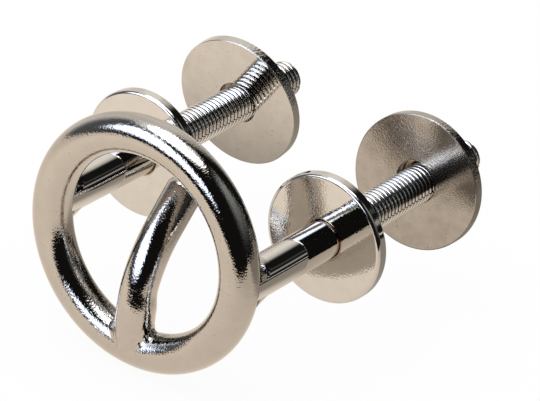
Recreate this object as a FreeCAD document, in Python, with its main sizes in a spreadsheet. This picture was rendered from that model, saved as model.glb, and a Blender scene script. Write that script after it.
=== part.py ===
import FreeCAD, Part
import math
import os
import Sketcher

# Water ski hook: a towing eye of bent round bar that bolts through a boat's transom.
# A closed ring carries a tongue, bent back from its lowest point, that keeps the rope's loop in.
# Two threaded studs run back from the ring's left and right, each with a washer on both sides
# of the transom and a nut.
# Frame: +Z up, +Y into the boat along the studs, +X to the right seen from behind the boat.
# Origin: midway between the studs, on the face of the inner washers that lies on the transom.

V = FreeCAD.Vector
doc = FreeCAD.newDocument("water_ski_hook")
sheet = doc.addObject("Spreadsheet::Sheet", "sizes")
sheet.Label = "sizes"

SIZES = [
    # ring
    ("rod_dia", 10.0),              # round bar of the ring and of the studs' shanks
    ("ring_inner_dia", 47.0),
    # tongue
    ("tongue_dia", 9.3),
    ("tongue_lean", 15.7),          # degrees that it leaves the ring forward of upright
    ("tongue_bend_radius", 31.8),
    ("tongue_bend_angle", 58.7),    # degrees that it is bent back
    ("tongue_tail", 13.0),          # straight run after the bend
    ("tongue_tip_round", 3.2),
    ("tongue_foot_dia", 9.8),       # the foot keeps nearly the full thickness of the bar
    ("tongue_foot_side", 0.5),      # how far to the right the thicker foot is set
    ("tongue_foot_length", 17.0),   # along the bar, as far as its taper's end
    # studs
    ("shank_length", 34.0),         # from the ring's middle plane to the inner washer
    ("stud_root", 1.5),             # the coped end starts this far behind the ring's middle plane
    ("thread_dia", 9.8),
    ("thread_length", 59.5),        # from the transom's face to the stud's end
    ("thread_runout", 0.4),
    ("thread_end_chamfer", 0.7),
    # weld fillets
    ("stud_weld_flare", 1.5),
    ("stud_weld_height", 3.6),
    ("tongue_weld_flare", 2.1),
    ("tongue_weld_height", 3.4),
    ("tongue_weld_root", 3.4),      # how far down the ring's front and back the fillets run
    ("weld_root", 2.0),             # depth of a fillet's foot inside the bar's surface line
    ("weld_inset", 0.3),            # how far a fillet stays inside the bar's width
    # inner washers
    ("inner_washer_dia", 33.8),
    ("inner_washer_thick", 3.3),
    ("inner_washer_edge", 1.0),     # rounding of the front rim
    ("inner_washer_back_edge", 0.6),
    ("inner_washer_lip", 0.6),      # rounding of the bore's front edge
    ("inner_washer_play", 0.05),    # radial clearance on the shank
    # outer washers
    ("left_washer_room", 38.1),     # from the transom's face to the middle of the outer washer's face
    ("right_washer_room", 37.2),
    ("outer_washer_dia", 36.0),
    ("outer_washer_thick", 2.6),
    ("outer_washer_hole", 11.5),
    ("outer_washer_edge", 0.3),
    ("left_washer_tilt", 8.8),      # degrees, the loose washer leans on its nut
    ("right_washer_tilt", 3.7),
    ("left_tilt_axis", 10.0),       # degrees from +X to +Z, the line about which the washer leans
    ("right_tilt_axis", 154.0),
    ("left_washer_side", 160.0),    # side of the stud on which the washer hangs off centre, degrees
    ("right_washer_side", 135.0),
    ("washer_rest_gap", 0.05),
    # nuts
    ("nut_across_flats", 16.0),
    ("nut_height", 8.4),
    ("nut_face_dia", 15.0),
    ("nut_chamfer_angle", 30.0),
    ("nut_countersink", 0.7),
    ("nut_play", 0.05),             # radial clearance on the thread
    ("nut_rest_gap", 0.02),
]
for row, (name, value) in enumerate(SIZES, start=1):
    sheet.set("A%d" % row, name)
    sheet.set("B%d" % row, str(value))
    sheet.setAlias("B%d" % row, name)
doc.recompute()

# Shared terms, written out of the named sizes above.
ROD_R = "sizes.rod_dia / 2"
RING_R = "(sizes.ring_inner_dia + sizes.rod_dia) / 2"
RING_Y = "-(sizes.shank_length + sizes.inner_washer_thick)"
SEAT = "sizes.shank_length + sizes.inner_washer_thick"


def value(text):
    """The number that a term of the sheet's sizes has now."""
    probe = sheet.evalExpression(text.replace("sizes.", ""))
    return float(getattr(probe, "Value", probe))


def body(name):
    made = doc.addObject("PartDesign::Body", name)
    made.Label = name
    return made


def origin_plane(owner, role):
    return [f for f in owner.Origin.OriginFeatures if f.Role == role][0]


def sketch_on(owner, name, role):
    made = owner.newObject("Sketcher::SketchObject", name)
    made.AttachmentSupport = [(origin_plane(owner, role), "")]
    made.MapMode = "FlatFace"
    return made


def pin(sketch, geo, pos, x, y):
    """Ties one point of a sketch to two terms; a term of "0" puts it on the axis."""
    if x == "0":
        sketch.addConstraint(Sketcher.Constraint("PointOnObject", geo, pos, -2))
    else:
        n = sketch.addConstraint(Sketcher.Constraint("DistanceX", -1, 1, geo, pos, value(x)))
        sketch.setExpression("Constraints[%d]" % n, x)
    if y == "0":
        sketch.addConstraint(Sketcher.Constraint("PointOnObject", geo, pos, -1))
    else:
        n = sketch.addConstraint(Sketcher.Constraint("DistanceY", -1, 1, geo, pos, value(y)))
        sketch.setExpression("Constraints[%d]" % n, y)


def circle(sketch, x, y, radius):
    geo = sketch.addGeometry(Part.Circle(V(value(x), value(y), 0), V(0, 0, 1), value(radius)), False)
    pin(sketch, geo, 3, x, y)
    n = sketch.addConstraint(Sketcher.Constraint("Radius", geo, value(radius)))
    sketch.setExpression("Constraints[%d]" % n, radius)
    return geo


def polygon(sketch, corners):
    """A closed outline of straight edges through corners that are pairs of terms."""
    points = [V(value(x), value(y), 0) for x, y in corners]
    first = None
    count = len(corners)
    for i in range(count):
        geo = sketch.addGeometry(Part.LineSegment(points[i], points[(i + 1) % count]), False)
        first = geo if first is None else first
    for i in range(count):
        here, after = first + i, first + (i + 1) % count
        sketch.addConstraint(Sketcher.Constraint("Coincident", here, 2, after, 1))
        pin(sketch, here, 1, corners[i][0], corners[i][1])


def turned(owner, kind, name, profile, axis="V_Axis"):
    """A full turn of a profile about an axis of its own sketch, added or cut."""
    feature = owner.newObject("PartDesign::" + kind, name)
    feature.Profile = profile
    feature.ReferenceAxis = (profile, [axis])
    feature.Angle = 360.0
    return feature


def place(made, x=None, y=None, z=None):
    for key, term in (("x", x), ("y", y), ("z", z)):
        if term is not None:
            made.setExpression("Placement.Base." + key, term)


def rounded(owner, name, base, edges, size):
    feature = owner.newObject("PartDesign::Fillet", name)
    feature.Base = (base, edges)
    feature.Radius = value("sizes." + size)
    feature.setExpression("Radius", "sizes." + size)
    return feature


def ring_edges(shape, radius, level):
    """Names of the circular edges of one radius at one height along Y."""
    names = []
    for i, edge in enumerate(shape.Edges, start=1):
        curve = edge.Curve
        if curve.TypeId == "Part::GeomCircle" and abs(curve.Radius - radius) < 1e-4:
            if abs(curve.Center.y - level) < 1e-4 and abs(abs(curve.Axis.y) - 1) < 1e-6:
                names.append("Edge%d" % i)
    return names


# Ring: one round bar bent into a closed circle that stands across the boat.
ring = body("ring")
place(ring, y=RING_Y)
ring_section = sketch_on(ring, "ring_section", "XY_Plane")
circle(ring_section, RING_R, "0", ROD_R)
turned(ring, "Revolution", "ring_bar", ring_section)

# Tongue: a round bar that leaves the ring's lowest point, leans forward a little, is bent
# back behind the ring and ends in a rounded tip. Its foot is coped to the ring's bar.
tongue = body("tongue")
place(tongue, y=RING_Y)
END_ANGLE = "(sizes.tongue_bend_angle - sizes.tongue_lean)"
BEND = "sizes.tongue_bend_radius"
BEND_Y = BEND + " * (cos(sizes.tongue_lean) - cos(%s))" % END_ANGLE
BEND_Z = "-%s + %s * (sin(sizes.tongue_lean) + sin(%s))" % (RING_R, BEND, END_ANGLE)
TIP_Y = BEND_Y + " + sizes.tongue_tail * sin(%s)" % END_ANGLE
TIP_Z = BEND_Z + " + sizes.tongue_tail * cos(%s)" % END_ANGLE


def across_bend(share):
    """Terms of Y, Z and lean of the bend's arc, a share of the foot's length along it."""
    lean = "(sizes.tongue_lean - %g * sizes.tongue_foot_length / %s * 180 / pi)" % (share, BEND)
    return ("%s * (cos(sizes.tongue_lean) - cos(%s))" % (BEND, lean),
            "-%s + %s * (sin(sizes.tongue_lean) - sin(%s))" % (RING_R, BEND, lean), lean)


def bar_section(name, share, full):
    """A circle across the bend; full is 1 in the thicker foot and 0 in the bar behind it."""
    y, z, lean = across_bend(share)
    made = sketch_on(tongue, name, "XY_Plane")
    made.AttachmentOffset = FreeCAD.Placement(V(0, value(y), value(z)), FreeCAD.Rotation(V(1, 0, 0), value(lean)))
    made.setExpression("AttachmentOffset.Base.y", y)
    made.setExpression("AttachmentOffset.Base.z", z)
    made.setExpression("AttachmentOffset.Rotation.Angle", lean)
    circle(made, "sizes.tongue_foot_side * %g" % full if full else "0", "0",
           "sizes.tongue_dia / 2 + (sizes.tongue_foot_dia - sizes.tongue_dia) / 2 * %g" % full)
    return made


def bend_arc(sketch, low, high):
    """The bend's arc between two points that are pairs of terms; gives the numbers of its ends."""
    ends = [V(value(low[0]), value(low[1]), 0), V(value(high[0]), value(high[1]), 0)]
    hub = V(value(BEND + " * cos(sizes.tongue_lean)"),
            value("-%s + %s * sin(sizes.tongue_lean)" % (RING_R, BEND)), 0)
    outward = (ends[0] + ends[1]) * 0.5 - hub
    middle = hub + outward * (value(BEND) / outward.Length)
    geo = sketch.addGeometry(Part.Arc(ends[0], middle, ends[1]), False)
    # an arc is stored anticlockwise, so its start is the upper end here
    first = 1 if (sketch.getPoint(geo, 1) - ends[0]).Length < 1e-6 else 2
    pin(sketch, geo, first, *low)
    pin(sketch, geo, 3 - first, *high)
    n = sketch.addConstraint(Sketcher.Constraint("Radius", geo, value(BEND)))
    sketch.setExpression("Constraints[%d]" % n, BEND)
    return first, 3 - first


def swept(name, profile, path):
    doc.recompute()
    made = tongue.newObject("PartDesign::AdditivePipe", name)
    made.Profile = profile
    made.Spine = (path, [])
    doc.recompute()
    return made


# The foot is full at first and then tapers smoothly into the thinner bar.
FOOT_FULL = 0.66
TAPER_STEPS = 6
foot_path = sketch_on(tongue, "tongue_foot_path", "YZ_Plane")
bend_arc(foot_path, across_bend(0)[:2], across_bend(FOOT_FULL)[:2])
swept("tongue_foot", bar_section("tongue_foot_section", 0, 1.0), foot_path)
taper_sections = []
for i in range(TAPER_STEPS + 1):
    full = 0.0 if i == TAPER_STEPS else 0.5 + 0.5 * math.cos(math.pi * i / TAPER_STEPS)
    taper_sections.append(bar_section(
        "tongue_taper_section_%d" % i, FOOT_FULL + (1 - FOOT_FULL) * i / TAPER_STEPS, full))
doc.recompute()
taper = tongue.newObject("PartDesign::AdditiveLoft", "tongue_taper")
taper.Profile = taper_sections[0]
taper.Sections = taper_sections[1:]
doc.recompute()

tongue_path = sketch_on(tongue, "tongue_path", "YZ_Plane")
bent_end = bend_arc(tongue_path, across_bend(1)[:2], (BEND_Y, BEND_Z))[1]
tongue_path.addGeometry(Part.LineSegment(
    V(value(BEND_Y), value(BEND_Z), 0), V(value(TIP_Y), value(TIP_Z), 0)), False)
tongue_path.addConstraint(Sketcher.Constraint("Coincident", 0, bent_end, 1, 1))
pin(tongue_path, 1, 2, TIP_Y, TIP_Z)

tongue_bar = swept("tongue_bar", bar_section("tongue_section", 1, 0.0), tongue_path)
tip_point = V(0, value(TIP_Y), value(TIP_Z))
tip_edges = [
    "Edge%d" % i for i, edge in enumerate(tongue_bar.Shape.Edges, start=1)
    if edge.Curve.TypeId == "Part::GeomCircle" and (edge.Curve.Center - tip_point).Length < 1e-3]
tongue_tip = rounded(tongue, "tongue_tip", tongue_bar, tip_edges, "tongue_tip_round")
tongue_cope = sketch_on(tongue, "tongue_cope_section", "XY_Plane")
circle(tongue_cope, RING_R, "0", ROD_R)
turned(tongue, "Groove", "tongue_cope", tongue_cope)
doc.recompute()


def stud(name, side):
    """A turned bar: plain shank from the ring to the transom, thread behind it."""
    made = body(name)
    place(made, x="%s%s" % (side, RING_R), y=RING_Y)
    end = "%s + sizes.thread_length" % SEAT
    thread_r = "sizes.thread_dia / 2"
    profile = sketch_on(made, name + "_profile", "XY_Plane")
    polygon(profile, [
        ("0", "sizes.stud_root"),
        (ROD_R, "sizes.stud_root"),
        (ROD_R, SEAT),
        (thread_r, SEAT + " + sizes.thread_runout"),
        (thread_r, end + " - sizes.thread_end_chamfer"),
        (thread_r + " - sizes.thread_end_chamfer", end),
        ("0", end)])
    turned(made, "Revolution", name + "_bar", profile)
    # the end is coped to the ring's bar, whose own centre line is the ring's axis
    cope = sketch_on(made, name + "_cope_section", "XY_Plane")
    circle(cope, "0", "0", ROD_R)
    other = "-" if side == "" else ""
    at = value("%s%s" % (other, RING_R))
    axis = cope.addGeometry(Part.LineSegment(V(at, -1, 0), V(at, 1, 0)), True)
    cope.addConstraint(Sketcher.Constraint("Vertical", axis))
    pin(cope, axis, 1, "%s%s" % (other, RING_R), "-" + ROD_R)
    n = cope.addConstraint(Sketcher.Constraint("DistanceY", axis, 1, axis, 2, value("sizes.rod_dia")))
    cope.setExpression("Constraints[%d]" % n, "sizes.rod_dia")
    turned(made, "Groove", name + "_cope", cope, "Axis0")
    return made


left_stud = stud("left_stud", "-")
right_stud = stud("right_stud", "")


def oval(name, long_r, short_r, turn, x=None, y=None, z=None):
    """One section of a weld fillet; turn is the rotation that lays its long side as wanted."""
    made = doc.addObject("Part::Ellipse", name)
    made.MajorRadius = value(long_r)
    made.MinorRadius = value(short_r)
    made.setExpression("MajorRadius", long_r)
    made.setExpression("MinorRadius", short_r)
    made.Placement = FreeCAD.Placement(V(0, 0, 0), turn)
    place(made, x, y, z)
    return made


def weld(name, sections, carriers):
    """Filler metal: a concave flare about one bar, cut back to the bars that it joins."""
    flare = doc.addObject("Part::Loft", name + "_flare")
    flare.Sections = sections
    flare.Solid = True
    flare.Ruled = False
    base = flare
    for i, carrier in enumerate(carriers):
        last = i == len(carriers) - 1
        cut = doc.addObject("Part::Cut", name if last else name + "_on_ring")
        cut.Base = base
        cut.Tool = carrier
        cut.Refine = False
        base = cut
    base.Label = name
    return base


def stud_weld(name, side, carrier):
    turn = FreeCAD.Rotation(V(1, 0, 0), 90).multiply(FreeCAD.Rotation(V(0, 0, 1), 90))
    steps = [("-sizes.weld_root", 2.0, 1.0), ("-sizes.weld_root / 2", 1.42, 0.9), ("0", 1.0, 0.8),
             ("sizes.stud_weld_height * 0.33", 0.42, 0.65), ("sizes.stud_weld_height * 0.66", 0.12, 0.5),
             ("sizes.stud_weld_height", 0.02, 0.3)]
    sections = []
    for i, (height, flare, inset) in enumerate(steps):
        sections.append(oval(
            "%s_section_%d" % (name, i),
            "%s + sizes.stud_weld_flare * %g" % (ROD_R, flare),
            "%s - sizes.weld_inset * %g" % (ROD_R, inset),
            turn, "%s%s" % (side, RING_R), "%s + %s + %s" % (RING_Y, ROD_R, height), None))
    return weld(name, sections, [ring, carrier])


left_stud_weld = stud_weld("left_stud_weld", "-", left_stud)
right_stud_weld = stud_weld("right_stud_weld", "", right_stud)

# The tongue's fillets fill the corners on its left and right, inside the ring.
tongue_sections = []
for i, (height, flare, inset) in enumerate([
        ("-sizes.tongue_weld_root", 1.4, 0.4), ("-sizes.tongue_weld_root / 2", 1.25, 0.8), ("0", 1.0, 2.0),
        ("sizes.tongue_weld_height * 0.35", 0.48, 2.0), ("sizes.tongue_weld_height * 0.7", 0.16, 1.8),
        ("sizes.tongue_weld_height", -0.03, 1.6)]):
    rise = "(%s + %s)" % (ROD_R, height)
    tongue_sections.append(oval(
        "tongue_weld_section_%d" % i,
        "sizes.tongue_foot_dia / 2 + sizes.tongue_weld_flare * %g" % flare,
        "sizes.tongue_foot_dia / 2 - sizes.weld_inset * %g" % inset,
        FreeCAD.Rotation(), "sizes.tongue_foot_side",
        "%s - %s * tan(sizes.tongue_lean) + %s * %s / (2 * %s)" % (RING_Y, rise, rise, rise, BEND),
        "-%s + %s" % (RING_R, rise)))
tongue_weld = weld("tongue_weld", tongue_sections, [ring, tongue])


def inner_washer(name, side):
    """Thick polished washer with a rounded rim, fixed on the shank where the transom begins."""
    made = body(name)
    place(made, x="%s%s" % (side, RING_R), y="-sizes.inner_washer_thick")
    bore = "%s + sizes.inner_washer_play" % ROD_R
    rim = "sizes.inner_washer_dia / 2"
    thick = "sizes.inner_washer_thick"
    profile = sketch_on(made, name + "_profile", "XY_Plane")
    polygon(profile, [(bore, "0"), (rim, "0"), (rim, thick), (bore, thick)])
    disc = turned(made, "Revolution", name + "_disc", profile)
    doc.recompute()
    front = rounded(made, name + "_front_edge", disc,
                    ring_edges(disc.Shape, value(rim), 0.0), "inner_washer_edge")
    doc.recompute()
    back = rounded(made, name + "_back_edge", front,
                   ring_edges(front.Shape, value(rim), value(thick)), "inner_washer_back_edge")
    doc.recompute()
    rounded(made, name + "_bore_lip", back,
            ring_edges(back.Shape, value(bore), 0.0), "inner_washer_lip")
    return made


left_inner_washer = inner_washer("left_inner_washer", "-")
right_inner_washer = inner_washer("right_inner_washer", "")

# Outer washers hang loose on the threads: each leans by its own tilt and sits off centre until
# its hole meets the thread.
def washer_middle(side):
    return "(sizes.%s_washer_room + sizes.outer_washer_thick / 2)" % side


def washer_shift(tilt):
    return ("(sizes.outer_washer_hole / 2 * cos({0}) - sizes.thread_dia / 2"
            " - sizes.outer_washer_thick / 2 * sin({0}) - sizes.washer_rest_gap)").format(tilt)


def outer_washer(side, sign):
    name = side + "_outer_washer"
    tilt, lean_side = "sizes.%s_washer_tilt" % side, "sizes.%s_washer_side" % side
    made = body(name)
    hole, rim = "sizes.outer_washer_hole / 2", "sizes.outer_washer_dia / 2"
    half_thick = "sizes.outer_washer_thick / 2"
    profile = sketch_on(made, name + "_profile", "XY_Plane")
    polygon(profile, [
        (hole, "-" + half_thick), (rim, "-" + half_thick), (rim, half_thick), (hole, half_thick)])
    disc = turned(made, "Revolution", name + "_disc", profile)
    doc.recompute()
    rounded(made, name + "_edge", disc,
            ring_edges(disc.Shape, value(rim), -value(half_thick)), "outer_washer_edge")
    across = math.radians(value("sizes.%s_tilt_axis" % side))
    made.Placement = FreeCAD.Placement(
        V(0, 0, 0), FreeCAD.Rotation(V(math.cos(across), 0, math.sin(across)), value(tilt)))
    made.setExpression("Placement.Rotation.Angle", tilt)
    shift = washer_shift(tilt)
    place(made, "%s%s + %s * cos(%s)" % (sign, RING_R, shift, lean_side), washer_middle(side),
          "%s * sin(%s)" % (shift, lean_side))
    return made


left_outer_washer = outer_washer("left", "-")
right_outer_washer = outer_washer("right", "")


def nut(side, sign):
    """Hexagon nut, chamfered at both ends, run up to the edge of the leaning washer."""
    name = side + "_nut"
    tilt = "sizes.%s_washer_tilt" % side
    made = body(name)
    face = "sizes.nut_face_dia / 2"
    place(made, "%s%s" % (sign, RING_R),
          "%s + (sizes.outer_washer_thick / 2 + (%s + %s) * sin(%s)) / cos(%s) + sizes.nut_rest_gap"
          % (washer_middle(side), face, washer_shift(tilt), tilt, tilt))
    flat = "sizes.nut_across_flats / 2"
    corner = "sizes.nut_across_flats / 2 / cos(30)"
    outline = sketch_on(made, name + "_outline", "XZ_Plane")
    polygon(outline, [
        ("0", corner), ("-" + flat, "%s / 2" % corner), ("-" + flat, "-%s / 2" % corner),
        ("0", "-" + corner), (flat, "-%s / 2" % corner), (flat, "%s / 2" % corner)])
    block = made.newObject("PartDesign::Pad", name + "_block")
    block.Profile = outline
    block.Length = value("sizes.nut_height")
    block.setExpression("Length", "sizes.nut_height")
    block.Reversed = True
    high = "sizes.nut_height"
    past = "(%s + sizes.nut_countersink)" % corner
    drop = "((%s - %s) * tan(sizes.nut_chamfer_angle))" % (past, face)
    corners = sketch_on(made, name + "_chamfers", "XY_Plane")
    polygon(corners, [(face, "0"), (past, "0"), (past, drop)])
    polygon(corners, [(face, high), (past, "%s - %s" % (high, drop)), (past, high)])
    turned(made, "Groove", name + "_corners", corners)
    bore = "(sizes.thread_dia / 2 + sizes.nut_play)"
    sink = "sizes.nut_countersink"
    hole = sketch_on(made, name + "_hole", "XY_Plane")
    polygon(hole, [
        ("0", "0"), ("%s + %s" % (bore, sink), "0"), (bore, sink), (bore, "%s - %s" % (high, sink)),
        ("%s + %s" % (bore, sink), high), ("0", high)])
    turned(made, "Groove", name + "_bore", hole)
    return made


left_nut = nut("left", "-")
right_nut = nut("right", "")

doc.recompute()

pieces = [ring, tongue, tongue_weld, left_stud, right_stud, left_stud_weld, right_stud_weld,
          left_inner_washer, right_inner_washer, left_outer_washer, right_outer_washer,
          left_nut, right_nut]
for item in doc.Objects:
    if "Invalid" in item.State or "Error" in item.State:
        raise RuntimeError("%s is in state %s" % (item.Name, item.State))
for piece in pieces:
    if piece.Shape.isNull() or not piece.Shape.isValid() or piece.Shape.Volume <= 0:
        raise RuntimeError("%s has no valid solid" % piece.Label)

os.makedirs("parts", exist_ok=True)
for piece in pieces:
    shape = piece.Shape
    shape.exportStep("parts/%s.step" % piece.Label)
    box = shape.BoundBox
    print("%-20s solids %d volume %9.2f  x %7.2f %7.2f  y %7.2f %7.2f  z %7.2f %7.2f" % (
        piece.Label, len(shape.Solids), shape.Volume,
        box.XMin, box.XMax, box.YMin, box.YMax, box.ZMin, box.ZMax))
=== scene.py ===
import math

import bmesh
import bpy
import numpy as np
from mathutils import Matrix, Vector, noise
from mathutils.bvhtree import BVHTree


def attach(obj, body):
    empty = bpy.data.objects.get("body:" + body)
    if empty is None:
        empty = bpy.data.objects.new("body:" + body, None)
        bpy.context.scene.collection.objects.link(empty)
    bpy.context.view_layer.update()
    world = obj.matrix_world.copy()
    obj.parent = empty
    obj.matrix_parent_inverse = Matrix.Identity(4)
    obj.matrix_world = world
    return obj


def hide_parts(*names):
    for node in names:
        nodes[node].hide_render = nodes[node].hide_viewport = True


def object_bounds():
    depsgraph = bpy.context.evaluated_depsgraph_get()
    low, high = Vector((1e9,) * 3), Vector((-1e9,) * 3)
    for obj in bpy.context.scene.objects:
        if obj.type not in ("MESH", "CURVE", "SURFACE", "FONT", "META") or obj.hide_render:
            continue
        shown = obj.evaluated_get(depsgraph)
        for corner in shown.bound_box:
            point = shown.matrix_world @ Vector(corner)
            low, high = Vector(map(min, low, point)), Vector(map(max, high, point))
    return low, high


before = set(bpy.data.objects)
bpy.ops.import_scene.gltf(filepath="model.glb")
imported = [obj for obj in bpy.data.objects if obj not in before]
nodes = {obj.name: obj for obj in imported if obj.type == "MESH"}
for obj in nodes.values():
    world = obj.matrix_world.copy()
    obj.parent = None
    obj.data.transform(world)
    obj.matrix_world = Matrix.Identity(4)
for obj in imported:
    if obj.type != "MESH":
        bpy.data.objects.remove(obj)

cad_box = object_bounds()
MM = 0.001

# Ring: one round bar of stainless steel, bent into a circle, welded shut and then polished
# all over. The polish leaves fine pits, which show as specks at the edges of its reflections.
STEEL = (0.48, 0.45, 0.415, 1.0)
STAIN = (0.10, 0.07, 0.05, 1.0)
MIRROR = 0.01                      # roughness of polished steel
RELIEF = 0.01 * MM                 # height of a pit or a wave whose depth is 1


def node_group(name, inputs, outputs):
    """An empty shader group with its sockets, and its input and output nodes."""
    group = bpy.data.node_groups.new(name, "ShaderNodeTree")
    for label, kind, value in inputs:
        made = group.interface.new_socket(label, in_out="INPUT", socket_type=kind)
        made.default_value = value
    for label, kind in outputs:
        group.interface.new_socket(label, in_out="OUTPUT", socket_type=kind)
    return group, group.nodes.new("NodeGroupInput"), group.nodes.new("NodeGroupOutput")


def feed(tree, socket, term):
    """Gives a socket its value: another socket, a number or a colour."""
    if isinstance(term, bpy.types.NodeSocket):
        tree.links.new(term, socket)
    else:
        socket.default_value = term


def maths(tree, kind, *terms):
    made = tree.nodes.new("ShaderNodeMath")
    made.operation = kind
    for socket, term in zip(made.inputs, terms):
        feed(tree, socket, term)
    return made.outputs["Value"]


def spread(tree, term, start, end, low=0.0, high=1.0, kind="LINEAR"):
    """low where the term is at start, high where it is at end, and between them on the way."""
    made = tree.nodes.new("ShaderNodeMapRange")
    made.interpolation_type = kind
    for label, value in (("Value", term), ("From Min", start), ("From Max", end), ("To Min", low), ("To Max", high)):
        feed(tree, made.inputs[label], value)
    return made.outputs["Result"]


def grain(tree, place, size, detail):
    """Cloudy noise, with about so many grains of size to the metre."""
    made = tree.nodes.new("ShaderNodeTexNoise")
    for label, value in (("Vector", place), ("Scale", size), ("Detail", detail)):
        feed(tree, made.inputs[label], value)
    return made.outputs["Fac"]


def blend_colours(tree, share, first, second):
    made = tree.nodes.new("ShaderNodeMix")
    made.data_type = "RGBA"
    for label, value in (("Factor", share), ("A", first), ("B", second)):
        feed(tree, made.inputs[label], value)
    return made.outputs["Result"]


def axes(tree, place):
    """The X, Y and Z of a place or a direction, by name."""
    made = tree.nodes.new("ShaderNodeSeparateXYZ")
    tree.links.new(place, made.inputs["Vector"])
    return made.outputs


def polishing_marks():
    """Pits and faint waves that polishing leaves in steel, and the rougher cut of a rim or an edge
    that faces sideways: roughness and height over the surface."""
    group, given, out = node_group(
        "polishing_marks",
        [("Pit Size", "NodeSocketFloat", 2600.0), ("Pit Depth", "NodeSocketFloat", 1.0),
         ("Wave Depth", "NodeSocketFloat", 1.0), ("Rim Depth", "NodeSocketFloat", 0.0),
         ("Smoothness", "NodeSocketFloat", 0.06)],
        [("Roughness", "NodeSocketFloat"), ("Height", "NodeSocketFloat")])
    place = group.nodes.new("ShaderNodeTexCoord")
    pits = grain(group, place.outputs["Object"], given.outputs["Pit Size"], 1.0)
    waves = grain(group, place.outputs["Object"], 180.0, 2.0)
    facing = axes(group, place.outputs["Normal"])
    rim = maths(group, "LESS_THAN", maths(group, "ABSOLUTE", facing["Y"]), 0.6)
    drawn = group.nodes.new("ShaderNodeVectorMath")
    drawn.operation = "MULTIPLY"
    drawn.inputs[1].default_value = (1.0, 0.35, 1.0)
    group.links.new(place.outputs["Object"], drawn.inputs[0])
    cut = maths(group, "MULTIPLY", grain(group, drawn.outputs["Vector"], 1500.0, 3.0),
                maths(group, "MULTIPLY", rim, given.outputs["Rim Depth"]))
    # the wheel gets less far into the lower part, where the pits stay deeper
    low_down = spread(group, axes(group, place.outputs["Object"])["Z"], -10.0 * MM, -24.0 * MM, 1.0, 1.7, "SMOOTHSTEP")
    depth = maths(group, "MULTIPLY", given.outputs["Pit Depth"], low_down)
    height = maths(group, "MULTIPLY_ADD", waves, given.outputs["Wave Depth"],
                   maths(group, "MULTIPLY_ADD", pits, depth, cut))
    group.links.new(height, out.inputs["Height"])
    group.links.new(maths(group, "MULTIPLY_ADD", waves, 0.02, given.outputs["Smoothness"]), out.inputs["Roughness"])
    return group


def tarnish():
    """Faint blotches and small dark specks on the steel's colour."""
    group, given, out = node_group(
        "tarnish",
        [("Steel", "NodeSocketColor", (0.6, 0.57, 0.53, 1.0)), ("Blotches", "NodeSocketFloat", 0.06),
         ("Specks", "NodeSocketFloat", 0.5)],
        [("Color", "NodeSocketColor")])
    place = group.nodes.new("ShaderNodeTexCoord").outputs["Object"]
    dull = spread(group, grain(group, place, 320.0, 5.0), 0.35, 0.70)
    dots = spread(group, grain(group, place, 1500.0, 2.0), 0.69, 0.76)
    spots = maths(group, "MULTIPLY_ADD", dots, given.outputs["Specks"],
                  maths(group, "MULTIPLY", dull, given.outputs["Blotches"]))
    group.links.new(blend_colours(group, spots, given.outputs["Steel"], STAIN), out.inputs["Color"])
    return group


MARKS = polishing_marks()
TARNISH = tarnish()


def steel_material(name, colour, smoothness, pit_size, pit_depth, wave_depth,
                   rim_depth=0.0, blotches=0.06, specks=0.5):
    """Steel with its polishing marks and tarnish; pit_size is in pits to the metre."""
    made = bpy.data.materials.new(name)
    made.use_nodes = True
    tree = made.node_tree
    shader = tree.nodes["Principled BSDF"]
    shader.inputs["Metallic"].default_value = 1.0
    marks = tree.nodes.new("ShaderNodeGroup")
    marks.node_tree = MARKS
    stains = tree.nodes.new("ShaderNodeGroup")
    stains.node_tree = TARNISH
    for socket, value in ((marks.inputs["Pit Size"], pit_size), (marks.inputs["Pit Depth"], pit_depth),
                          (marks.inputs["Wave Depth"], wave_depth), (marks.inputs["Rim Depth"], rim_depth),
                          (marks.inputs["Smoothness"], smoothness), (stains.inputs["Steel"], colour),
                          (stains.inputs["Blotches"], blotches), (stains.inputs["Specks"], specks)):
        socket.default_value = value
    bump = tree.nodes.new("ShaderNodeBump")
    bump.inputs["Strength"].default_value = 1.0
    bump.inputs["Distance"].default_value = RELIEF
    tree.links.new(stains.outputs["Color"], shader.inputs["Base Color"])
    tree.links.new(marks.outputs["Height"], bump.inputs["Height"])
    tree.links.new(marks.outputs["Roughness"], shader.inputs["Roughness"])
    tree.links.new(bump.outputs["Normal"], shader.inputs["Normal"])
    return made


polished_steel = steel_material("polished_steel_finish", STEEL, MIRROR, 2200.0, 4.0, 4.0)
nodes["ring"].material_slots[0].material = polished_steel

# Tongue: a round bar of the same steel, bent back behind the ring and rounded at its tip. It is
# welded to the ring's lowest point and polished together with it.
nodes["tongue"].material_slots[0].material = polished_steel

# Welds: filler metal in the corners. The bead sets in lumps and folds, which the polishing wheel
# can't reach, and its outside is ground smooth with the bars.
RING_PLANE = -37.3 * MM
SNAP = 0.002 * MM                  # points that are nearer than this are one
BEAD_MESH = 0.32 * MM              # longest side of a bead's triangles
FOLD_VALLEY = 0.22                 # rounding between two folds, as a share of a fold's size
FOLD_LEVEL = 0.5                   # how far a fold's middle sinks, as a share of the folds' depth
FOLD_STEP = 0.3                    # how much that differs from fold to fold
FOLD_TILT = 1.7                    # how steeply a fold leans
FOLD_SCATTER = 7.3                 # spreads the folds' middles out, so that each gets its own tilt
FOLD_LIMIT = 0.42                  # share of the metal's thickness that a fold may take
weld_steel = steel_material("weld_steel_finish", STEEL, MIRROR, 900.0, 0.3, 0.5)


def add_object(name, data):
    """A new object of the scene with that mesh, lamp or camera."""
    made = bpy.data.objects.new(name, data)
    bpy.context.scene.collection.objects.link(made)
    return made


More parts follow.
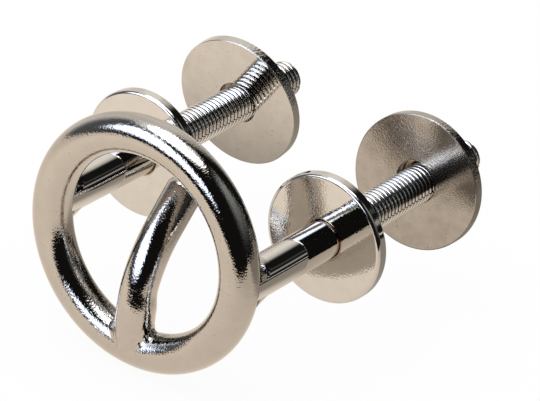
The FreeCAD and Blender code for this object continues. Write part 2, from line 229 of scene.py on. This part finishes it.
def even_mesh(mesh, longest):
    """The same closed surface in triangles with no side over longest."""
    made = bmesh.new()
    made.from_mesh(mesh)
    bmesh.ops.remove_doubles(made, verts=made.verts, dist=SNAP)
    bmesh.ops.triangulate(made, faces=made.faces)
    made.verts.index_update()
    places = [Vector(v.co) for v in made.verts]
    faces = [[v.index for v in face.verts] for face in made.faces]
    made.free()
    middles = {(0, 0): 0}
    while middles:
        middles, smaller = {}, []
        for face in faces:
            marks = []
            for a, b in zip(face, face[1:] + face[:1]):
                key = (min(a, b), max(a, b))
                if key not in middles and (places[a] - places[b]).length > longest:
                    middles[key] = len(places)
                    places.append((places[a] + places[b]) / 2)
                marks.append(middles.get(key))
            count = 3 - marks.count(None)
            while (count == 1 and marks[0] is None) or (count == 2 and marks[2] is not None):
                face, marks = face[1:] + face[:1], marks[1:] + marks[:1]
            a, b, c = face
            ab, bc, ca = marks
            smaller += {0: [[a, b, c]],
                        1: [[a, ab, c], [ab, b, c]],
                        2: [[ab, b, bc], [a, ab, bc], [a, bc, c]],
                        3: [[a, ab, ca], [ab, b, bc], [ca, bc, c], [ab, bc, ca]]}[count]
        faces = smaller
    made = bmesh.new()
    verts = [made.verts.new(place) for place in places]
    for face in faces:
        made.faces.new([verts[i] for i in face])
    return made


def lumpy_weld(node_name, weight, fold, depth):
    """The weld's own shape with folds: fold is their size, depth how far they sink below it. Each
    fold is a patch with a tilt of its own, and none goes half way through the metal."""
    source = nodes[node_name]
    fine = even_mesh(source.data, BEAD_MESH)
    fine.normal_update()
    solid = BVHTree.FromBMesh(fine)
    moves = []
    for vertex in fine.verts:
        place, inward = Vector(vertex.co), -vertex.normal
        near, middles = noise.voronoi(place / fold)[:2]
        apart = min(1.0, (near[1] - near[0]) / FOLD_VALLEY)
        sink = 0.0
        for middle, share in ((middles[0], 0.5 + 0.5 * apart), (middles[1], 0.5 - 0.5 * apart)):
            tilt = noise.cell_vector(middle * FOLD_SCATTER)
            sink += share * (FOLD_LEVEL + FOLD_TILT * tilt.dot(place / fold - middle) + FOLD_STEP * tilt.x)
        through = solid.ray_cast(place + inward * 0.01 * MM, inward)[3]
        moves.append(inward * min(depth * weight(place) * max(0.0, sink), FOLD_LIMIT * (through or 0.0)))
    for vertex, move in zip(fine.verts, moves):
        vertex.co += move
    mesh = bpy.data.meshes.new(node_name + "_cast")
    fine.to_mesh(mesh)
    fine.free()
    mesh.shade_smooth()
    mesh.set_sharp_from_angle(angle=math.radians(50))
    mesh.materials.append(weld_steel)
    corner = add_object(node_name + "_cast", mesh)
    corner.matrix_world = source.matrix_world
    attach(corner, "root")
    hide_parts(node_name)


def ramp(value, start, end):
    """0 up to start, 1 from end on, and a smooth rise between them."""
    t = min(1.0, max(0.0, (value - start) / (end - start)))
    return t * t * (3 - 2 * t)


def tongue_folds(place):
    """Folds over both beads, fainter towards the top, where the metal thins out on the tongue."""
    return 1.0 - 0.8 * ramp(place.z, -25.0 * MM, -22.5 * MM)


def stud_folds(place):
    """Folds on the upper bead alone, deeper towards its back: the lower one is smooth."""
    return ramp(place.y, RING_PLANE, RING_PLANE + 4.0 * MM) * ramp(place.z, -1.0 * MM, 1.0 * MM)


lumpy_weld("tongue_weld", tongue_folds, 2.4 * MM, 1.4 * MM)
for name in ("left_stud_weld", "right_stud_weld"):
    lumpy_weld(name, stud_folds, 3.6 * MM, 0.9 * MM)

# Studs: polished round bar welded to the back of the ring, with a metric thread, 1.5 mm to the
# turn, cut from the transom's face to the chamfered end.
BAR_RADIUS = 5.0 * MM
RING_RADIUS = 28.5 * MM
SHANK_RADIUS = 5.0 * MM
SHANK_END = -1.0 * MM              # last plain row before the thread's first turn
THREAD_RADIUS = 4.9 * MM
THREAD_DEPTH = 0.90 * MM
THREAD_PITCH = 1.5 * MM
THREAD_END = 59.5 * MM
STEP_DOWN = 0.4 * MM               # from the shank's to the thread's diameter
RUNOUT = (0.3 * MM, 1.6 * MM)      # where the cut begins, and how long it takes to its full depth
END_CHAMFER = 0.7 * MM
COPE_LEAST = 1.5 * MM              # how near the end's corners come to the ring's middle plane
COPE_SINK = 0.05 * MM              # how far the coped end goes into the ring
STUD_SIDES = 64
BRIGHT_STEEL = (0.62, 0.60, 0.57, 1.0)
# painted sheen: a brighter colour over the threaded part, which lightens its reflections
THREAD_SHEEN = (0.92, 0.90, 0.87, 1.0)
# painted shade: a dark colour in the thread's grooves, where shade falls
ROOT_SHADE = (0.06, 0.055, 0.05, 1.0)
# height of the rolled thread's outline from its root, 0 to 1, against the share of a turn
THREAD_OUTLINE = ((0.0, 0.0), (0.04, 0.0), (0.08, 0.10), (0.12, 0.36), (0.16, 0.66), (0.19, 0.84),
                  (0.23, 0.94), (0.29, 0.98), (0.38, 0.995), (0.50, 1.0), (0.62, 0.995), (0.71, 0.98),
                  (0.77, 0.94), (0.81, 0.84), (0.84, 0.66), (0.88, 0.36), (0.92, 0.10), (0.96, 0.0),
                  (1.0, 0.0))


def stud_radius(y, angle):
    """How far the stud reaches from its axis behind the transom's face."""
    turn = (y / THREAD_PITCH - angle / (2 * math.pi)) % 1.0
    height = np.interp(turn, [share for share, _ in THREAD_OUTLINE], [height for _, height in THREAD_OUTLINE])
    fade = min(1.0, max(0.0, (y - RUNOUT[0]) / RUNOUT[1]))
    start = min(1.0, max(0.0, y / STEP_DOWN))
    top = SHANK_RADIUS + (THREAD_RADIUS - SHANK_RADIUS) * start
    radius = top - THREAD_DEPTH * (1.0 - height) * fade
    return min(radius, THREAD_RADIUS - END_CHAMFER + (THREAD_END - y))


def stud_rows(middle, angles):
    """Rows of (y, radius) round the stud, from the end that is coped to the ring to the other."""
    front = []
    for a in angles:
        x, z = middle + SHANK_RADIUS * math.cos(a), SHANK_RADIUS * math.sin(a)
        off = abs(math.hypot(x, z) - RING_RADIUS)
        front.append(RING_PLANE + math.sqrt(max(BAR_RADIUS ** 2 - off ** 2, COPE_LEAST ** 2)) - COPE_SINK)
    rows = [[(y + (SHANK_END - y) * share, SHANK_RADIUS) for y in front] for share in (0.0, 0.3, 0.7, 1.0)]
    for turn in range(-1, int(THREAD_END / THREAD_PITCH) + 3):
        for share, _ in THREAD_OUTLINE[:-1]:
            row = [min(max(THREAD_PITCH * (turn + share + a / (2 * math.pi)), 0.0), THREAD_END) for a in angles]
            rows.append([(y, stud_radius(y, a)) for y, a in zip(row, angles)])
    return rows


def stud_mesh(name, middle):
    angles = np.arange(STUD_SIDES) * 2 * math.pi / STUD_SIDES
    made = bmesh.new()
    grid = [[made.verts.new((middle + r * math.cos(a), y, r * math.sin(a)))
             for (y, r), a in zip(row, angles)] for row in stud_rows(middle, angles)]
    for row, after in zip(grid, grid[1:]):
        for i in range(STUD_SIDES):
            j = (i + 1) % STUD_SIDES
            made.faces.new((row[i], row[j], after[j], after[i]))
    made.faces.new(reversed(grid[0]))
    made.faces.new(grid[-1])
    bmesh.ops.remove_doubles(made, verts=made.verts, dist=SNAP)
    bmesh.ops.dissolve_degenerate(made, edges=made.edges, dist=0.001 * MM)
    bmesh.ops.recalc_face_normals(made, faces=made.faces)
    mesh = bpy.data.meshes.new(name)
    made.to_mesh(mesh)
    made.free()
    # depth below the thread's crest: where the thread's painted sheen and painted root shade go
    below = []
    for vertex in mesh.vertices:
        if vertex.co.y < 0.2 * MM:
            below.append(-1.0)
        elif vertex.co.y < THREAD_END - END_CHAMFER:
            below.append(max(0.0, THREAD_RADIUS - math.hypot(vertex.co.x - middle, vertex.co.z)) / THREAD_DEPTH)
        else:
            below.append(0.0)
    mesh.attributes.new("root", "FLOAT", "POINT").data.foreach_set("value", below)
    mesh.shade_smooth()
    mesh.set_sharp_from_angle(angle=math.radians(45))
    return mesh


def thread_shade():
    """Painted sheen and painted shade on a thread: a brighter colour over the whole threaded part, which lightens its
    reflections, and a dark colour towards the root of each groove, where shade falls; both from the vertices' depth
    below its crest, which is -1 on the plain shank."""
    group, given, out = node_group(
        "thread_shade",
        [("Steel", "NodeSocketColor", BRIGHT_STEEL), ("Thread Sheen", "NodeSocketColor", THREAD_SHEEN),
         ("Root Shade", "NodeSocketColor", ROOT_SHADE)],
        [("Color", "NodeSocketColor")])
    depth = group.nodes.new("ShaderNodeAttribute")
    depth.attribute_name = "root"
    colour = given.outputs["Steel"]
    # painted sheen over the thread, then painted shade towards the roots of its grooves
    for start, end, label in ((-0.5, -0.1, "Thread Sheen"), (0.10, 0.45, "Root Shade")):
        reach = spread(group, depth.outputs["Fac"], start, end)
        colour = blend_colours(group, reach, colour, given.outputs[label])
    group.links.new(colour, out.inputs["Color"])
    return group


def repaint(material, group, stained):
    """Puts a colour group before the steel's shader, over its stained colour or over its own."""
    tree = material.node_tree
    shader = tree.nodes["Principled BSDF"]
    made = tree.nodes.new("ShaderNodeGroup")
    made.node_tree = group
    if stained:
        tree.links.new(shader.inputs["Base Color"].links[0].from_socket, made.inputs["Steel"])
    tree.links.new(made.outputs["Color"], shader.inputs["Base Color"])


thread_steel = steel_material("thread_steel_finish", BRIGHT_STEEL, MIRROR, 2200.0, 0.2, 0.8)
# the thread's colour, with its painted sheen and painted root shade
repaint(thread_steel, thread_shade(), stained=False)
for side, middle in (("left", -RING_RADIUS), ("right", RING_RADIUS)):
    stud = add_object(side + "_stud_turned", stud_mesh(side + "_stud_turned", middle))
    stud.data.materials.append(thread_steel)
    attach(stud, "root")
    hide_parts(side + "_stud")

# Inner washers: thick turned washers with rounded rims, polished like the ring. They sit tight on
# the shanks, where the welding's heat has left a brown ring round each bore.
OXIDE = (0.36, 0.20, 0.09, 1.0)


def heat_tint():
    """Brown oxide round a welded shank, by the distance from the studs' axes."""
    group, given, out = node_group(
        "heat_tint",
        [("Steel", "NodeSocketColor", BRIGHT_STEEL), ("Oxide", "NodeSocketColor", OXIDE),
         ("Radius", "NodeSocketFloat", SHANK_RADIUS)],
        [("Color", "NodeSocketColor")])
    place = group.nodes.new("ShaderNodeTexCoord").outputs["Object"]
    along = axes(group, place)
    sideways = maths(group, "SUBTRACT", maths(group, "ABSOLUTE", along["X"]), RING_RADIUS)
    reach = maths(group, "SQRT", maths(group, "ADD", maths(group, "MULTIPLY", sideways, sideways),
                                       maths(group, "MULTIPLY", along["Z"], along["Z"])))
    edge = maths(group, "MULTIPLY_ADD", grain(group, place, 260.0, 2.0), 1.5 * MM, given.outputs["Radius"])
    near = spread(group, maths(group, "SUBTRACT", reach, edge), -0.4 * MM, 0.2 * MM, 0.6, 0.0, "SMOOTHSTEP")
    group.links.new(blend_colours(group, near, given.outputs["Steel"], given.outputs["Oxide"]), out.inputs["Color"])
    return group


bright_steel = steel_material("bright_steel_finish", BRIGHT_STEEL, MIRROR, 2200.0, 1.0, 1.5)
repaint(bright_steel, heat_tint(), stained=True)
for name in ("left_inner_washer", "right_inner_washer"):
    nodes[name].material_slots[0].material = bright_steel

# Outer washers: stamped flat washers of dull steel with roughly cut rims, which hang loose on the
# threads. The right one is the darker and the more blotched of the two.
left_finish = steel_material("left_washer_finish", (0.60, 0.575, 0.54, 1.0), 0.03, 2500.0, 0.6, 0.5,
                             rim_depth=16.0, blotches=0.10, specks=0.7)
right_finish = steel_material("right_washer_finish", (0.42, 0.39, 0.355, 1.0), 0.10, 2500.0, 1.6, 0.5,
                              rim_depth=16.0, blotches=0.22, specks=0.8)
nodes["left_outer_washer"].material_slots[0].material = left_finish
nodes["right_outer_washer"].material_slots[0].material = right_finish

# Nuts: plain hexagon nuts of satin steel, run up on the threads to the outer washers, which they
# keep from sliding back.
satin_steel = steel_material("satin_steel_finish", (0.52, 0.46, 0.40, 1.0), 0.24, 900.0, 1.0, 1.0)
for name in ("left_nut", "right_nut"):
    nodes[name].material_slots[0].material = satin_steel

# Floor: plain white, level with the lowest point of the ring. It is white to the eye and takes
# the hook's soft shadow, and the table below stands for it in the metal.
FLOOR_REACH = 6.0
low, high = cad_box
floor_mesh = bpy.data.meshes.new("floor")
floor_mesh.from_pydata([(x * FLOOR_REACH, y * FLOOR_REACH, low.z) for x, y in ((-1, -1), (1, -1), (1, 1), (-1, 1))],
                       [], [(0, 1, 2, 3)])
floor = add_object("floor", floor_mesh)
floor.visible_glossy = False


def white_ground(name, glow):
    """White to the eye and in the metal, and still darker where something shades it."""
    made = bpy.data.materials.new(name)
    made.use_nodes = True
    tree = made.node_tree
    shader = tree.nodes["Principled BSDF"]
    shader.inputs["Base Color"].default_value = (0.8, 0.8, 0.8, 1.0)
    shader.inputs["Roughness"].default_value = 0.9
    ray = tree.nodes.new("ShaderNodeLightPath").outputs
    seen = maths(tree, "MAXIMUM", ray["Is Camera Ray"], ray["Is Glossy Ray"])
    seen = maths(tree, "MAXIMUM", seen, ray["Is Transmission Ray"])
    light = tree.nodes.new("ShaderNodeEmission")
    light.inputs["Strength"].default_value = 1.0
    mix = tree.nodes.new("ShaderNodeMixShader")
    tree.links.new(maths(tree, "MULTIPLY", seen, glow), mix.inputs["Fac"])
    tree.links.new(shader.outputs["BSDF"], mix.inputs[1])
    tree.links.new(light.outputs["Emission"], mix.inputs[2])
    tree.links.new(mix.outputs["Shader"], tree.nodes["Material Output"].inputs["Surface"])
    return made


floor.data.materials.append(white_ground("white_floor", 0.94))

# World: a plain white studio, which is white to the eye and in the metal, and which lights the
# hook evenly from all sides.
world = bpy.data.worlds.new("studio")
bpy.context.scene.world = world
world.use_nodes = True
world.node_tree.nodes["Background"].inputs["Color"].default_value = (1, 1, 1, 1)
world.node_tree.nodes["Background"].inputs["Strength"].default_value = 1.0

# Panels hung round the table, out of the picture: softboxes, a grey card and black cloth, which
# draw the bright and the dark bands in polished metal. Each is a grid of directions with soft edges.
BLACK = (0.010, 0.010, 0.0095)
DAYLIGHT = (2.6, 3.0, 3.8)
PANEL_STEP = 1.0                   # degrees between a panel's rows


def sky_point(azimuth, elevation, distance):
    """A place round the middle of the frame, by two angles in degrees and a distance in metres."""
    a, e = math.radians(azimuth), math.radians(elevation)
    return distance * Vector((math.sin(a) * math.cos(e), -math.cos(a) * math.cos(e), math.sin(e)))


def only_in_metal(made):
    """Leaves a thing out of the picture, apart from what polished metal shows of it."""
    made.visible_camera = False
    made.visible_diffuse = False
    made.visible_shadow = False


def glowing(name, colour, attribute):
    """A material without a surface, the share that the mesh's attribute gives, and its glow."""
    made = bpy.data.materials.new(name)
    made.use_nodes = True
    tree = made.node_tree
    tree.nodes.remove(tree.nodes["Principled BSDF"])
    share = tree.nodes.new("ShaderNodeAttribute")
    share.attribute_name = attribute
    glow = tree.nodes.new("ShaderNodeEmission")
    glow.inputs["Color"].default_value = (*colour, 1.0)
    return made, share.outputs["Fac"], glow


def panel(name, outline, colour, soft, distance, density=1.0):
    """outline: (azimuth, lowest, highest elevation) from left to right; soft: left, right, bottom, top."""
    azimuths = [p[0] for p in outline]
    across = max(2, int(abs(azimuths[-1] - azimuths[0]) / PANEL_STEP))
    upward = max(2, int(max(p[2] - p[1] for p in outline) / PANEL_STEP))
    corners, cover = [], []
    for i in range(across + 1):
        az = azimuths[0] + (azimuths[-1] - azimuths[0]) * i / across
        lowest = float(np.interp(az, azimuths, [p[1] for p in outline]))
        highest = float(np.interp(az, azimuths, [p[2] for p in outline]))
        for j in range(upward + 1):
            el = lowest + (highest - lowest) * j / upward
            corners.append(sky_point(az, el, distance))
            cover.append(density * ramp(az - azimuths[0], 0.0, soft[0]) * ramp(azimuths[-1] - az, 0.0, soft[1])
                         * ramp(el - lowest, 0.0, soft[2]) * ramp(highest - el, 0.0, soft[3]))
    step = upward + 1
    faces = [(i * step + j, i * step + j + 1, (i + 1) * step + j + 1, (i + 1) * step + j)
             for i in range(across) for j in range(upward)]
    mesh = bpy.data.meshes.new(name)
    mesh.from_pydata(corners, [], faces)
    mesh.attributes.new("cover", "FLOAT", "POINT").data.foreach_set("value", cover)
    made = add_object(name, mesh)
    only_in_metal(made)
    cloth, share, glow = glowing(name, colour, "cover")
    tree = cloth.node_tree
    clear = tree.nodes.new("ShaderNodeBsdfTransparent")
    mix = tree.nodes.new("ShaderNodeMixShader")
    tree.links.new(share, mix.inputs["Fac"])
    tree.links.new(clear.outputs["BSDF"], mix.inputs[1])
    tree.links.new(glow.outputs["Emission"], mix.inputs[2])
    tree.links.new(mix.outputs["Shader"], tree.nodes["Material Output"].inputs["Surface"])
    mesh.materials.append(cloth)


panel("left_shade", [(-114, -10, 50), (-88, -10, 49), (-60, -12, 50), (-40, -16, 52), (-8, -22, 52)],
      (0.13, 0.14, 0.15), (36, 16, 6, 5), 3.05)
panel("black_room", [(-64, -14, 52), (-30, -20, 52), (0, -34, 57), (18, -50, 59), (35, -56, 62), (50, -50, 66),
                     (62, -40, 70), (76, -26, 74), (90, -16, 76), (106, -10, 76), (130, -8, 76), (170, -8, 72),
                     (216, -10, 70)],
      BLACK, (40, 44, 3, 5), 3.0)
panel("grey_card", [(68, 0, 66), (136, 0, 66)], (0.36, 0.39, 0.38), (34, 8, 52, 14), 2.9)
panel("light_strip", [(128, 12, 21), (152, 12, 21)], (0.42, 0.41, 0.39), (5, 6, 4, 4), 2.8)
panel("dim_strip", [(128, 25, 32), (160, 25, 32)], (0.07, 0.07, 0.065), (5, 6, 3, 3), 2.8)
panel("window_line", [(126, 2.8, 5.2), (150, 2.8, 5.2)], (1.3, 1.2, 1.15), (3, 5, 0.8, 0.8), 2.75)
panel("front_softbox", [(-63, 14, 40), (-46, 8, 46), (-30, 3, 47), (-20, 2, 43), (-10, 2, 39), (0, 3, 34),
                        (8, 5, 25), (14, 7, 18)],
      DAYLIGHT, (11, 8, 7, 6), 2.8)
panel("softbox_seam", [(-22.5, 6, 34), (-20, 6, 34)], BLACK, (1, 1, 3, 6), 2.7, 0.6)
panel("top_softbox", [(-186, 76, 88), (-150, 74, 88), (-120, 65, 88), (-100, 57, 88), (-60, 53, 88), (-20, 52, 88),
                      (0, 57, 88), (30, 66, 88), (110, 74, 88)],
      (4.8, 5.1, 5.6), (20, 14, 5, 1), 2.6)
panel("boom", [(-21, 42, 76), (-14, 42, 76)], (0.1, 0.1, 0.1), (2, 2, 3, 6), 2.5, 0.7)
panel("back_wall", [(-184, -4, 62), (-100, -8, 56)], (0.86, 0.79, 0.70), (26, 30, 6, 14), 2.9)
panel("wall_light", [(-162, 18, 56), (-124, 14, 50)], (1.05, 1.0, 0.94), (8, 14, 10, 10), 2.85)
panel("ceiling_gap", [(-190, 56, 76), (-146, 56, 76)], (0.06, 0.06, 0.07), (8, 12, 5, 6), 2.7)

# Table under the hook, seen only in the metal: pale paper that ends close in front and to the
# right, brightest on the left where the softbox reaches it and dim behind. Its sizes are in mm.
TABLE_EDGE = ((-1000, -520), (-300, -430), (-160, -350), (-60, -262), (40, -200), (95, -138), (150, -112),
              (260, -88), (500, -60), (1000, -30))
TABLE_BACK = 900.0
TABLE_ROWS = 90
PAPER = (1.0, 0.885, 0.765)


def table_light(x, y):
    """How bright the paper is at a place, by the softbox's pool of light and two shades."""
    lit = 0.30 * math.exp(-((x + 90) ** 2 + (y + 160) ** 2) / 150.0 ** 2)
    behind = 0.60 / (1.0 + math.exp(-(y - 16) / 6.0)) / (1.0 + math.exp(-(x + 70) / 10.0))
    right = 0.20 / (1.0 + math.exp(-(x - 90) / 25.0))
    return 0.97 + lit - min(behind + right, 0.62)


table = bmesh.new()
brightness = []
lines = []
for x in (*range(-1000, -300, 50), *range(-300, 300, 10), *range(300, 1001, 50)):
    edge = float(np.interp(x, [p[0] for p in TABLE_EDGE], [p[1] for p in TABLE_EDGE]))
    depths = [edge + (TABLE_BACK - edge) * (i / TABLE_ROWS) ** 1.7 for i in range(TABLE_ROWS + 1)]
    lines.append([table.verts.new((x * MM, y * MM, low.z - 0.2 * MM)) for y in depths])
    brightness += [table_light(x, y) for y in depths]
for line, after in zip(lines, lines[1:]):
    for i in range(TABLE_ROWS):
        table.faces.new((line[i], after[i], after[i + 1], line[i + 1]))
table_mesh = bpy.data.meshes.new("table")
table.to_mesh(table_mesh)
table.free()
table_mesh.attributes.new("light", "FLOAT", "POINT").data.foreach_set("value", brightness)
table_paper, share, glow = glowing("table_paper", PAPER, "light")
table_paper.node_tree.links.new(share, glow.inputs["Strength"])
table_paper.node_tree.links.new(glow.outputs["Emission"],
                                table_paper.node_tree.nodes["Material Output"].inputs["Surface"])
table_mesh.materials.append(table_paper)
table_top = add_object("table", table_mesh)
only_in_metal(table_top)

# Light: one broad softbox high on the left, which gives the soft shadow on the floor. It doesn't
# show in the metal, where the panels stand for it.
LIGHT_SIZE = 1.6
light_data = bpy.data.lights.new("top_light", "AREA")
light_data.shape = "RECTANGLE"
light_data.size, light_data.size_y = LIGHT_SIZE, LIGHT_SIZE
light_data.energy = math.pi * LIGHT_SIZE * LIGHT_SIZE
top_light = add_object("top_light", light_data)
top_light.location = sky_point(-70, 68, 1.6)
top_light.rotation_mode = "QUATERNION"
top_light.rotation_quaternion = top_light.location.to_track_quat("Z", "Y")
top_light.visible_camera = False
top_light.visible_glossy = False

# Camera: a long lens at the place that the photograph was taken from, in front, to the right and
# above, and turned a little about its own line of sight.
CAMERA_PLACE = (0.458584, -0.688187, 0.454804)
CAMERA_SIDE = (33.108, 28.871)     # azimuth and elevation that it looks from
CAMERA_ROLL = 7.25
CAMERA_LENS = 254.15
camera_data = bpy.data.cameras.new("camera")
camera_data.sensor_width = 36.0
camera_data.lens = CAMERA_LENS
camera_data.clip_end = 50.0
camera = add_object("camera", camera_data)
camera.location = CAMERA_PLACE
camera.rotation_mode = "QUATERNION"
roll = Matrix.Rotation(math.radians(CAMERA_ROLL), 3, "Z").to_quaternion()
camera.rotation_quaternion = (-sky_point(*CAMERA_SIDE, 1.0)).to_track_quat("-Z", "Y") @ roll
bpy.context.scene.camera = camera
bpy.context.scene.view_settings.view_transform = "Standard"
